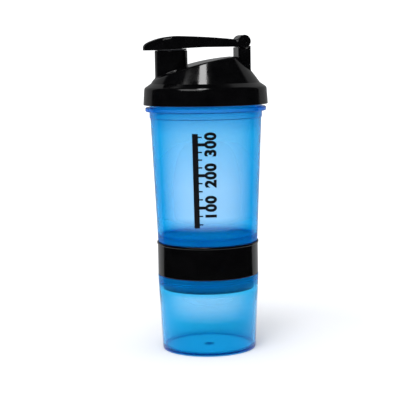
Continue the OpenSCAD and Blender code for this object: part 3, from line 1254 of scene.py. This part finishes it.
@dataclass
class Lid:
    """The screw lid: a turned skirt and seat, a moulded dome with the spout and the hinge's post."""

    ring_bore: float = 37.4
    ring_r: float = 39.0
    ring_z: float = 187.0
    seat_z: float = 193.8
    bore: float = 43.6
    skirt_top_r: float = 45.1
    skirt_top: float = 194.7
    dome_r: float = 40.2
    dome_z: float = 198.0
    dome_run: float = 0.72
    wall: float = 1.8
    low_x: float = -37.0
    low_z: float = 202.0
    high_x: float = 22.3
    high_z: float = 217.1
    bulge: float = 2.5
    rear_slope: float = 0.98
    spout_x: float = -25.0
    spout_r: float = 12.0
    spout_bore: float = 10.4
    spout_top: float = 222.0
    pin_x: float = 27.6
    pin_r: float = 1.6
    ear_r: float = 4.8
    gap: float = 0.3
    post_half: float = 4.6
    tongue_r: float = 3.3
    tongue_w: float = 9.0
    width: float = 24.0
    arm_z: float = 224.0
    mesh_step: float = 0.42
    thread: Thread = Thread(43.6, 1.8, 5.0, 1.0, 183.4, Ridge.INWARD)
    pin_z: float = 227.8

    def __post_init__(self) -> None:
        """Takes the hinge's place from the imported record."""
        hinge = next(j for j in frame["record"]["behaviour"]["joints"] if j["name"] == "cap_hinge")
        self.pin_x, self.pin_z = hinge["pos_m"][0] / MM, hinge["pos_m"][2] / MM
        a, b = np.array([self.low_x, self.low_z]), np.array([self.high_x, self.high_z])
        chord = float(np.linalg.norm(b - a))
        self.face_r = chord * chord / 8 / self.bulge + self.bulge / 2
        along = (b - a) / chord
        self.face_c = (a + b) / 2 + np.array([along[1], -along[0]]) * (self.face_r - self.bulge)

    def dome(self, p: np.ndarray, inset: float, edge: float) -> np.ndarray:
        """Gives the solid under the dome's wall and its slanted face, drawn in by an inset.

        Args:
            p: Places, in millimetres.
            inset: How far it is drawn in.
            edge: Radius of the edge round the face.

        Returns:
            The distance to the solid's surface at each place.
        """
        tilt = math.hypot(1, self.dome_run)
        out = np.hypot(p[:, 0], p[:, 1]) - self.dome_r
        cone = (out + self.dome_run * (p[:, 2] - self.dome_z)) / tilt
        face = np.hypot(p[:, 0] - self.face_c[0], p[:, 2] - self.face_c[1]) - self.face_r
        fall = math.hypot(1, self.rear_slope)
        rear = (p[:, 2] - self.high_z + self.rear_slope * (p[:, 0] - self.high_x - 0.6)) / fall
        top = keep(face, rear, 2.0)
        return keep(cone + inset, top + inset, edge)

    def solid(self, p: np.ndarray) -> np.ndarray:
        """Gives the dome, the spout, the post and the tongue as one solid.

        Args:
            p: Places, in millimetres.

        Returns:
            The distance to the solid's surface at each place.
        """
        x, y, z = p[:, 0], p[:, 1], p[:, 2]
        half, thin, pin_x = self.width / 2, self.wall, self.pin_x
        low_x, high_x = pin_x - self.post_half, pin_x + self.post_half
        shell = self.dome(p, 0.0, 1.1)
        spout = keep(tube(p, self.spout_x, self.spout_r), z - self.spout_top, 0.7)
        post_side = keep(slab(x, low_x, high_x), slab(y, -half, half), 0.7)
        post_top = np.where(x > pin_x + 1, self.arm_z + 0.6, self.arm_z - 0.4)
        post = keep(post_side, z - post_top, 0.3)
        post = cut(post, rod(p, pin_x, self.pin_z, self.ear_r + self.gap), 0.35)
        body = join(join(shell, spout, 0.8), np.maximum(post, self.dome_z + 2 - z), 0.8)
        core_side = np.maximum(slab(x, low_x + thin, high_x - thin), slab(y, -half + thin, half - thin))
        core = np.maximum(core_side, z - self.arm_z + 5.5)
        body = cut(body, join(self.dome(p, thin, 1.0), core, 0.5), 0.5)
        body = cut(body, np.maximum(tube(p, self.spout_x, self.spout_bore), self.dome_z - z), 0.45)
        neck = keep(slab(x, pin_x - 2.0, pin_x + 2.0), slab(z, self.arm_z - 4, self.pin_z), 0.05)
        tongue = join(rod(p, pin_x, self.pin_z, self.tongue_r), neck, 0.4)
        tongue = keep(tongue, slab(y, -self.tongue_w / 2, self.tongue_w / 2), 0.35)
        body = join(body, tongue, 0.35)
        body = np.maximum(body, -rod(p, pin_x, self.pin_z, self.pin_r))
        return keep(body, self.dome_z - 2.0 - z, 0.05)

    def build(self, looks: Finishes) -> None:
        """Builds the lid, its seal and its pin, and dresses the strainer.

        Args:
            looks: The finishes.
        """
        low = span("lid", 2)[0]
        skirt_r = span("lid", 0)[1]
        outline = [
            (self.ring_bore, self.ring_z, 0.35),
            (self.ring_r, self.ring_z, 0.35),
            (self.ring_r, self.seat_z, 0.3),
            (self.bore, self.seat_z, 0.3),
            (self.bore, low, 0.3),
            (skirt_r, low, 0.45),
            (self.skirt_top_r, self.skirt_top, 2.6),
            (self.dome_r, self.dome_z, 0.05),
            (self.ring_bore, self.dome_z, 0.05),
        ]
        skirt = turned("lid_skirt", outline, looks.black, closed=True, threads=[self.thread])
        place_piece(skirt, "lid", "lid")
        reach = self.dome_r + 2.5
        low_end, high_end = (-reach, -reach, self.dome_z - 3), (reach, reach, self.pin_z + 5)
        step = self.mesh_step
        dome = moulded("lid_dome", self.solid, low_end, high_end, step, looks.black)
        place_piece(dome, "lid", "lid")
        seal_ring("lid_seal", looks)
        half = span("hinge_pin", 1)[1]
        outline = [(0, -half, 0), (self.pin_r, -half, 0.3), (self.pin_r, half, 0.3), (0, half, 0)]
        middle = (self.pin_x, 0, self.pin_z)
        pin = turned("hinge_pin_rod", outline, looks.black, segments=64, axis=Axis.ACROSS, centre=middle)
        place_piece(pin, "lid", "hinge_pin")
        dress_node("strainer", looks.black)


@dataclass
class FlipCap:
    """The lever over the spout: a pad, an arm with a hollow ribbed underside, and the ears."""

    lid: Lid
    cap_z: float = 222.2
    nose_r: float = 8.0
    pad_r: float = 14.6
    wall: float = 1.8
    arm_t: float = 5.4
    slot_w: float = 9.6
    slot_r: float = 3.6
    open_deg: float = 110.0
    boss_r: float = 6.0
    crown: float = 2.2
    nose_bulge: float = 1.9
    back_bulge: float = 0.45
    mesh_step: float = 0.34
    slot_spare_deg: float = 8.0
    slot_start_deg: float = -94.0
    neck_half_deg: float = 33.7
    plug_hollow: float = 4.1
    plug_bore: float = 7.36
    plug_tip: float = 8.96
    plug_root: float = 10.1
    plug_flange: float = 11.5
    flange_t: float = 1.1

    def __post_init__(self) -> None:
        """Works out the outline of the cap from its CAD node."""
        self.nose_x = span("flip_cap", 0)[0]
        self.top = span("flip_cap", 2)[1]
        lid = self.lid
        peak_x = lid.spout_x + lid.spout_r / 2
        nose = np.array([self.nose_x, self.cap_z + 4.2])
        peak = np.array([peak_x, self.cap_z + 10.1])
        root = np.array([lid.pin_x - lid.ear_r - 1.2, lid.arm_z + self.arm_t])
        front, back = self.arc(nose, peak, self.nose_bulge), self.arc(peak, root, self.back_bulge)
        line = np.concatenate([front, back[1:], [root + (9.0, -0.6)]])
        self.line_x = np.arange(self.nose_x - 3.0, root[0] + 9.0, 0.1)
        crisp = np.interp(self.line_x, line[:, 0], line[:, 1])
        blur = np.exp(-0.5 * (np.arange(-30, 31) / 12.0) ** 2)
        self.line_z = np.convolve(np.pad(crisp, 30, mode="edge"), blur / blur.sum(), mode="valid")
        self.line_slope = np.gradient(self.line_z, self.line_x)

    @staticmethod
    def arc(a: np.ndarray, b: np.ndarray, bulge: float) -> np.ndarray:
        """Gives points on an arc.

        Args:
            a: Its start.
            b: Its end.
            bulge: How far it stands above the chord between them.

        Returns:
            Points along the arc.
        """
        chord = float(np.linalg.norm(b - a))
        radius = chord * chord / 8 / bulge + bulge / 2
        along = (b - a) / chord
        out = np.array([-along[1], along[0]])
        half = math.asin(chord / 2 / radius)
        turn = np.linspace(-half, half, 40)[:, None]
        return (a + b) / 2 + along * radius * np.sin(turn) + out * (radius * np.cos(turn) - radius + bulge)

    def plan(self, p: np.ndarray, inset: float) -> np.ndarray:
        """Gives the cap's plan as a solid without top or bottom.

        Args:
            p: Places, in millimetres.
            inset: How far it is drawn in.

        Returns:
            The distance to the solid's surface at each place.
        """
        lid = self.lid
        x, y = p[:, 0], np.abs(p[:, 1])
        a, b = lid.spout_x - 0.5, self.nose_x + self.nose_r
        sine = (self.pad_r - self.nose_r) / (a - b)
        cosine = math.sqrt(1 - sine * sine)
        # Straight sides touch both circles; past their ends the circles themselves bound the plan
        along = (a - x) * cosine - y * sine
        straight = (a - x) * sine + y * cosine - self.pad_r
        pad = np.hypot(x - a, y) - self.pad_r
        nose = np.hypot(x - b, y) - self.nose_r
        drop = np.where(along < 0, pad, np.where(along > (a - b) * cosine, nose, straight))
        wide = lid.width / 2 + 1.4 * np.clip((-4.4 - x) / 12.6, 0, 1) ** 1.5
        arm = np.maximum(y - wide, np.maximum(lid.spout_x - x, x - lid.pin_x))
        return join(drop, arm, 3.0) + inset

    def body(self, p: np.ndarray, inset: float, edge: float) -> np.ndarray:
        """Gives the lever's solid, drawn in by an inset at the sides and the top.

        Args:
            p: Places, in millimetres.
            inset: How far it is drawn in.
            edge: Radius of the lower edge, where nothing is drawn in.

        Returns:
            The distance to the solid's surface at each place.
        """
        lid = self.lid
        x, z = p[:, 0], p[:, 2]
        slope = np.interp(x, self.line_x, self.line_slope)
        top = (z - np.interp(x, self.line_x, self.line_z)) / np.hypot(1, slope) + inset
        upper = keep(self.plan(p, inset), top, max(self.crown - inset, 0.6))
        floor = np.interp(
            x,
            [self.nose_x + 9, lid.spout_x + lid.spout_r + 1, lid.spout_x + lid.spout_r + 12],
            [self.cap_z, lid.arm_z - 0.4, lid.arm_z],
        )
        low = floor - z - (0.5 if inset else 0.0)
        return keep(upper, low, edge if not inset else 0.05)

    def solid(self, p: np.ndarray) -> np.ndarray:
        """Gives the whole cap as one solid.

        Args:
            p: Places, in millimetres.

        Returns:
            The distance to the solid's surface at each place.
        """
        lid = self.lid
        x, y, z = p[:, 0], p[:, 1], p[:, 2]
        outer = self.body(p, 0.0, 0.5)
        hollow = self.body(p, self.wall, 0.5)
        hollow = cut(hollow, tube(p, lid.spout_x, self.boss_r), 0.3)
        for rib in (lid.spout_x + self.pad_r + 1, lid.pin_x - lid.ear_r - 13):
            hollow = cut(hollow, slab(x, rib, rib + 1.4), 0.3)
        hollow = np.maximum(hollow, x - (lid.pin_x - lid.ear_r - 3.0))
        cap = cut(outer, hollow, 0.25)
        ears = keep(rod(p, lid.pin_x, lid.pin_z, lid.ear_r), slab(y, -lid.width / 2, lid.width / 2), 0.6)
        cap = join(cap, ears, 1.2)
        recess = np.maximum(tube(p, lid.spout_x, lid.spout_r - 0.2), z - self.cap_z - 1.0)
        cap = cut(cap, recess, 0.2)
        # The slot: a sector round the pin that the post's neck sweeps through, and some spare
        half = math.radians((self.open_deg + self.slot_spare_deg + 2 * self.neck_half_deg) / 2)
        middle = math.radians(self.slot_start_deg - self.neck_half_deg) + half
        turn = np.arctan2(z - lid.pin_z, x - lid.pin_x) - middle
        turn = np.abs((turn + math.pi) % (2 * math.pi) - math.pi) - half
        far = np.hypot(x - lid.pin_x, z - lid.pin_z)
        wedge = np.where(turn < math.pi / 2, far * np.sin(np.minimum(turn, math.pi / 2)), far)
        slot = np.minimum(rod(p, lid.pin_x, lid.pin_z, self.slot_r), wedge)
        slot = np.maximum(slot, slab(y, -self.slot_w / 2, self.slot_w / 2))
        cap = cut(cap, slot, 0.25)
        return np.maximum(cap, -rod(p, lid.pin_x, lid.pin_z, lid.pin_r + 0.08))

    def build(self, looks: Finishes) -> None:
        """Builds the cap and the plug under its pad.

        Args:
            looks: The finishes.
        """
        lid = self.lid
        step = self.mesh_step
        low = (self.nose_x - 1.0, -self.pad_r - 1.0, self.cap_z - 2.0)
        high = (lid.pin_x + lid.ear_r + 1.0, self.pad_r + 1.0, self.top + 1.5)
        cap = moulded("flip_cap_lever", self.solid, low, high, step, looks.black)
        place_piece(cap, "flip_cap", "flip_cap")
        bottom, top = span("spout_plug", 2)
        outline = [
            (0, bottom + self.plug_hollow, 0),
            (self.plug_bore, bottom + self.plug_hollow, 0.5),
            (self.plug_bore, bottom, 0.4),
            (self.plug_tip, bottom, 0.6),
            (self.plug_root, top - self.flange_t, 0.2),
            (self.plug_flange, top - self.flange_t, 0.3),
            (self.plug_flange, top, 0.3),
            (0, top, 0),
        ]
        plug = turned("spout_plug_cone", outline, looks.rubber, segments=128, centre=(lid.spout_x, 0, 0))
        place_piece(plug, "flip_cap", "spout_plug")


# ---------------------------------------------------------------------------------------------
# Studio


@dataclass
class Studio:
    """The pale floor, the soft light and the camera."""

    azimuth: float = -8.0
    distance: float = 0.911
    height: float = 0.222
    pitch: float = 6.95
    roll: float = 0.91
    lens: float = 110.8
    shift: float = -0.0179
    paper: float = 1.32
    gloss_room: float = 0.24
    dark_room: float = 0.01
    floor_r: float = 8.0
    floor_sides: int = 96
    fade: tuple[float, float] = (0.14, 0.6)
    # Reach and strength of the painted glow on the paper under the jar
    under_jar: tuple[float, float] = (0.030, 0.035)
    painted_glow_under_jar: float = 0.42
    paper_end: tuple[float, float] = (0.16, 0.24)
    edge_of_room: tuple[float, float] = (0.44, 0.5)
    lamp_aim: tuple[float, float, float] = (0.0, 0.0, 0.19)

    def build(self) -> None:
        """Sets up the floor, the light and the camera."""
        self.camera()
        self.floor()
        self.surround()
        self.lamp("key", -10.0, 66.0, 1.25, (0.25, 0.5), 4.4)
        self.lamp("fill", -38.0, 52.0, 1.3, (0.8, 0.5), 3.0)
        self.lamp("strip", -27.0, 28.0, 1.4, (1.0, 0.16), 2.7)
        # Plain display, so that the white paper stays white and the tint keeps its strength
        bpy.context.scene.view_settings.view_transform = "Standard"

    def camera(self) -> None:
        """Places the camera at the bottle's front, a little above its middle."""
        a, p, r = (math.radians(v) for v in (self.azimuth, self.pitch, self.roll))
        ahead = Vector((-math.sin(a) * math.cos(p), math.cos(a) * math.cos(p), -math.sin(p)))
        right = Vector((math.cos(a), math.sin(a), 0.0))
        up = right.cross(ahead)
        x_axis = right * math.cos(r) - up * math.sin(r)
        y_axis = right * math.sin(r) + up * math.cos(r)
        data = bpy.data.cameras.new("camera")
        data.lens, data.sensor_width, data.shift_x = self.lens, 36.0, self.shift
        data.clip_end = 50.0
        thing = bpy.data.objects.new("camera", data)
        spot = Vector((math.sin(a) * self.distance, -math.cos(a) * self.distance, self.height))
        axes = Matrix((x_axis, y_axis, -ahead)).transposed().to_4x4()
        thing.matrix_world = Matrix.Translation(spot) @ axes
        bpy.context.scene.collection.objects.link(thing)
        bpy.context.scene.camera = thing

    def floor(self) -> None:
        """Lays a pale floor that fades into the surround."""
        step = 2 * math.pi / self.floor_sides
        ring = [
            (self.floor_r * math.cos(k * step), self.floor_r * math.sin(k * step), 0.0)
            for k in range(self.floor_sides)
        ]
        mesh = bpy.data.meshes.new("floor")
        mesh.from_pydata(ring, [], [list(range(self.floor_sides))])
        material, tree, out = new_material("pale_paper_sweep")
        place = object_place(tree)
        far = vector_node(tree, "LENGTH", place).outputs["Value"]
        fade = remap(tree, far, self.fade)
        # Painted glow: the paper under the jar glows though no lamp is there, so that the jar's floor looks
        # lit from below
        under = remap(tree, far, self.under_jar, (self.painted_glow_under_jar, 0.0))
        fade = math_node(tree, "MAXIMUM", fade, under)
        glow = add_node(tree, "ShaderNodeEmission", {"Color": linear("#fafbfc"), "Strength": self.paper})
        sweep = blend(tree, fade, diffuse(tree, "#f0f1f4"), glow.outputs[0])
        # The paper ends a little in front of the bottle, so glossy walls mirror a dark room there
        way = vector_node(tree, "NORMALIZE", place).outputs["Vector"]
        near = remap(tree, far, self.paper_end, (1.0, 0.0))
        lit = math_node(tree, "MAXIMUM", self.backdrop(tree, way, 0.0, 0.4), near)
        gap = math_node(tree, "SUBTRACT", 1.0, lit)
        path = add_node(tree, "ShaderNodeLightPath").outputs
        mirror = math_node(tree, "MULTIPLY", path["Is Reflection Ray"], path["Is Glossy Ray"])
        dark = add_node(tree, "ShaderNodeEmission", {"Strength": self.dark_room})
        ends = blend(tree, math_node(tree, "MULTIPLY", gap, mirror), sweep, dark.outputs[0])
        tree.links.new(ends, out.inputs["Surface"])
        mesh.materials.append(material)
        thing = bpy.data.objects.new("floor", mesh)
        bpy.context.scene.collection.objects.link(thing)

    def backdrop(
        self, tree: bpy.types.NodeTree, way: bpy.types.NodeSocket, dark: float, light: float
    ) -> bpy.types.NodeSocket:
        """Adds the brightness of the room in each direction: dark in front, light behind.

        Args:
            tree: The node tree that it is added to.
            way: The direction, as a unit vector.
            dark: Brightness on the camera's side.
            light: Brightness behind the bottle.

        Returns:
            The brightness.
        """
        a = math.radians(self.azimuth)
        ahead = (-math.sin(a), math.cos(a), 0.0)
        behind = vector_node(tree, "DOT_PRODUCT", way, ahead).outputs["Value"]
        return remap(tree, behind, self.edge_of_room, (dark, light))

    def surround(self) -> None:
        """Lights the scene from a white backdrop, with a dark room on the camera's side."""
        world = bpy.data.worlds.new("studio")
        bpy.context.scene.world = world
        world.use_nodes = True
        tree = world.node_tree
        tree.nodes.clear()
        out = add_node(tree, "ShaderNodeOutputWorld")
        way = add_node(tree, "ShaderNodeTexCoord").outputs["Generated"]
        room = self.backdrop(tree, way, self.dark_room, self.gloss_room)
        path = add_node(tree, "ShaderNodeLightPath").outputs
        seen = math_node(tree, "MAXIMUM", path["Is Camera Ray"], path["Is Transmission Ray"])
        kind = {"data_type": "FLOAT"}
        soft = add_node(
            tree, "ShaderNodeMix", {**kind, "B": 1.0}, {"Factor": path["Is Diffuse Ray"], "A": room}
        )
        level = add_node(
            tree, "ShaderNodeMix", {**kind, "B": self.paper}, {"Factor": seen, "A": soft.outputs[0]}
        )
        white = {"Color": linear("#fafbfc")}
        glow = add_node(tree, "ShaderNodeBackground", white, {"Strength": level.outputs[0]})
        tree.links.new(glow.outputs[0], out.inputs["Surface"])

    def lamp(
        self,
        name: str,
        azimuth: float,
        elevation: float,
        distance: float,
        size: tuple[float, float],
        power: float,
    ) -> None:
        """Hangs a soft box that faces the lid.

        Args:
            name: The lamp's name.
            azimuth: Its direction from the bottle, in degrees from the camera's, to the right.
            elevation: Its height over the lid, in degrees.
            distance: Its distance from the lid, in metres.
            size: Its width and height, in metres.
            power: Its power in watts.
        """
        data = bpy.data.lights.new(name, "AREA")
        data.shape, data.size, data.size_y, data.energy = "RECTANGLE", size[0], size[1], power
        thing = bpy.data.objects.new(name, data)
        turn, lift = math.radians(self.azimuth + azimuth), math.radians(elevation)
        way = Vector((math.sin(turn) * math.cos(lift), -math.cos(turn) * math.cos(lift), math.sin(lift)))
        thing.location = Vector(self.lamp_aim) + way * distance
        thing.rotation_euler = (-way).to_track_quat("-Z", "Y").to_euler()
        thing.visible_camera = False
        bpy.context.scene.collection.objects.link(thing)


def main() -> None:
    """Builds the bottle and the studio."""
    logging.basicConfig(level=logging.INFO, format="%(name)s: %(message)s")
    looks = Finishes()
    lid = Lid()
    for part in (Jar(), Joiner(), Cup(), lid, FlipCap(lid)):
        log.info("building %s", type(part).__name__)
        part.build(looks)
    Studio().build()


if __name__ == "__main__":
    main()
